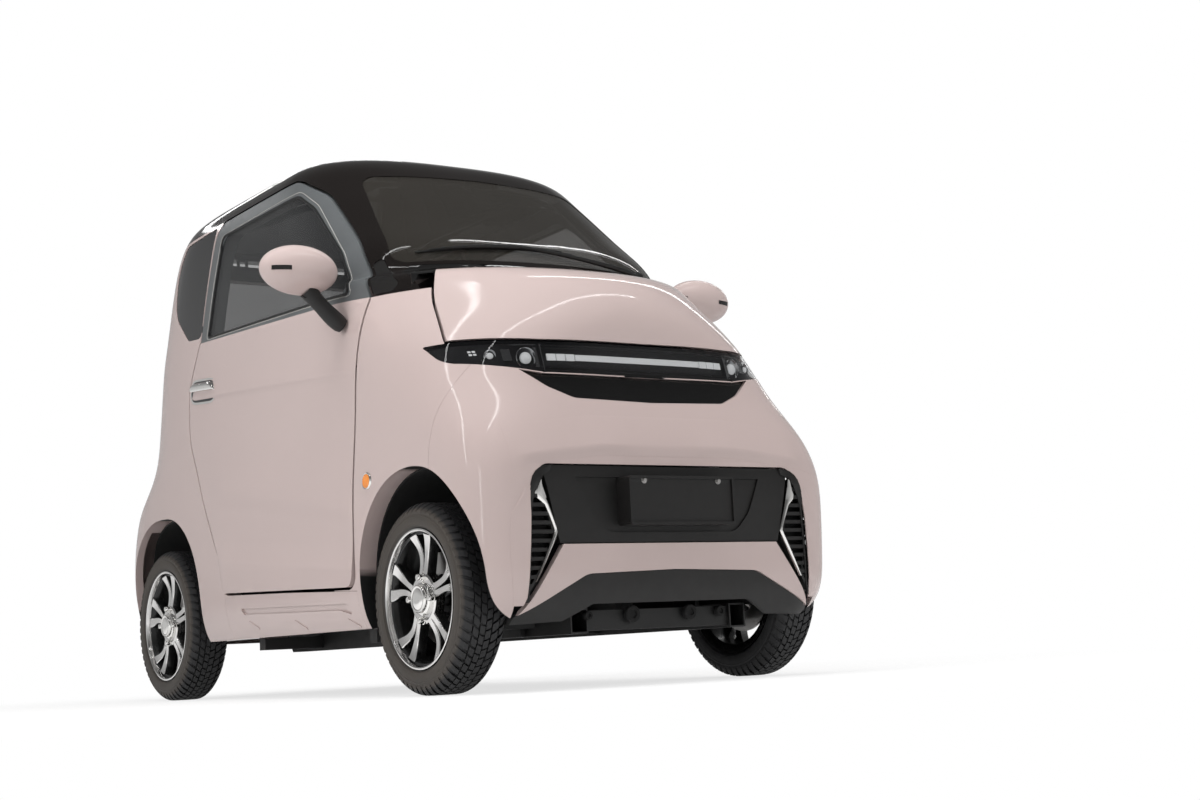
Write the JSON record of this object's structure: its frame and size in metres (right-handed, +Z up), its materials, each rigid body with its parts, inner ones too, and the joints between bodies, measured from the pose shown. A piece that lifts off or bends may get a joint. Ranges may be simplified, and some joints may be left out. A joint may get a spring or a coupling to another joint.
{
  "type": "microcar",
  "caption": "Small two-door two-seat electric car body with opening doors, bonnet and rear hatch, steered front wheels and four spinning wheels.",
  "frame": {"origin": "on the ground under the middle of the car's box", "axes": "+X to the car's left, +Y to the rear, +Z up; the car faces -Y"},
  "size_m": [1.522, 2.3791, 1.5749],
  "materials": {
    "body_paint": "gloss",
    "roof_paint": "gloss",
    "gloss_black": "gloss",
    "matte_black": "satin",
    "glass": "gloss",
    "dark_glass": "gloss",
    "chrome": "polished",
    "alloy": "machined",
    "tyre": "matte",
    "frame_steel": "satin",
    "battery": "matte",
    "lamp_red": "gloss",
    "amber": "gloss",
    "seat_cloth": "woven",
    "trim": "grained"
  },
  "bodies": {
    "car_body": {"roof_panel": "roof_paint", "cowl_panel": "gloss_black", "windscreen": "glass", "front_fenders": "body_paint", "front_bumper": "body_paint", "sills": "body_paint", "rear_quarters": "body_paint", "rear_bumper": "body_paint", "tail_lamps": "lamp_red", "lamp_bar": "dark_glass", "mouth_panel": "gloss_black", "lower_grille": "matte_black", "corner_blades": "chrome", "plate_holder": "matte_black", "quarter_glass": "dark_glass", "front_triangles": "matte_black", "wiper": "matte_black", "side_markers": "amber", "arch_liners": "matte_black", "floor_pan": "frame_steel", "chassis_frame": "frame_steel", "front_suspension": "frame_steel", "rear_axle": "frame_steel", "battery_pack": "battery", "dashboard": "trim", "seat_cushions": "seat_cloth", "seat_backs": "seat_cloth"},
    "door_r": {"door_r_panel": "body_paint", "door_r_frame": "matte_black", "door_r_glass": "glass", "door_r_handle": "chrome", "door_r_mirror": "body_paint"},
    "door_l": {"door_l_panel": "body_paint", "door_l_frame": "matte_black", "door_l_glass": "glass", "door_l_handle": "chrome", "door_l_mirror": "body_paint"},
    "bonnet_lid": {"bonnet": "body_paint"},
    "hatch_lid": {"hatch": "body_paint", "hatch_glass": "glass"},
    "knuckle_r": {"knuckle_r": "frame_steel"},
    "knuckle_l": {"knuckle_l": "frame_steel"},
    "wheel_fr": {"rim_fr": "alloy", "tyre_fr": "tyre"},
    "wheel_fl": {"rim_fl": "alloy", "tyre_fl": "tyre"},
    "wheel_rr": {"rim_rr": "alloy", "tyre_rr": "tyre"},
    "wheel_rl": {"rim_rl": "alloy", "tyre_rl": "tyre"},
    "steering_wheel": {"steering_wheel": "trim"}
  },
  "joints": [
    {"name": "wheel_rear_right_spin", "type": "hinge", "parent": "car_body", "child": "wheel_rr", "pos_m": [-0.4775, 0.8275, 0.233], "axis": [1, 0, 0], "continuous": true},
    {"name": "wheel_rear_left_spin", "type": "hinge", "parent": "car_body", "child": "wheel_rl", "pos_m": [0.4775, 0.8275, 0.233], "axis": [1, 0, 0], "continuous": true},
    {"name": "steer_right", "type": "hinge", "parent": "car_body", "child": "knuckle_r", "pos_m": [-0.41814, -0.8125, 0.233], "axis": [0.1604, 0, 0.9871], "range_deg": [-24, 24]},
    {"name": "steer_left", "type": "hinge", "parent": "car_body", "child": "knuckle_l", "pos_m": [0.41814, -0.8125, 0.233], "axis": [-0.1604, 0, 0.9871], "range_deg": [-24, 24]},
    {"name": "wheel_front_right_spin", "type": "hinge", "parent": "knuckle_r", "child": "wheel_fr", "pos_m": [-0.4775, -0.8125, 0.233], "axis": [1, 0, 0], "continuous": true},
    {"name": "wheel_front_left_spin", "type": "hinge", "parent": "knuckle_l", "child": "wheel_fl", "pos_m": [0.4775, -0.8125, 0.233], "axis": [1, 0, 0], "continuous": true},
    {"name": "door_right_swing", "type": "hinge", "parent": "car_body", "child": "door_r", "pos_m": [-0.5455, -0.4925, 0.4], "axis": [0.0245, -0.0521, 0.9983], "range_deg": [0, 65]},
    {"name": "door_left_swing", "type": "hinge", "parent": "car_body", "child": "door_l", "pos_m": [0.5455, -0.4925, 0.4], "axis": [0.0245, 0.0521, -0.9983], "range_deg": [0, 65]},
    {"name": "bonnet_lift", "type": "hinge", "parent": "car_body", "child": "bonnet_lid", "pos_m": [0, -0.6645, 1.098], "axis": [-1, 0, 0], "range_deg": [0, 50]},
    {"name": "hatch_lift", "type": "hinge", "parent": "car_body", "child": "hatch_lid", "pos_m": [0, 0.9315, 1.424], "axis": [1, 0, 0], "range_deg": [0, 75]},
    {"name": "steering_wheel_turn", "type": "hinge", "parent": "car_body", "child": "steering_wheel", "pos_m": [0.232, -0.2767, 0.926], "axis": [0, 0.88, 0.475], "range_deg": [-432, 432]}
  ],
  "couplings": [
    {"joint": "steer_left", "follows": "steer_right", "ratio": 1},
    {"joint": "steering_wheel_turn", "follows": "steer_right", "ratio": 18}
  ]
}
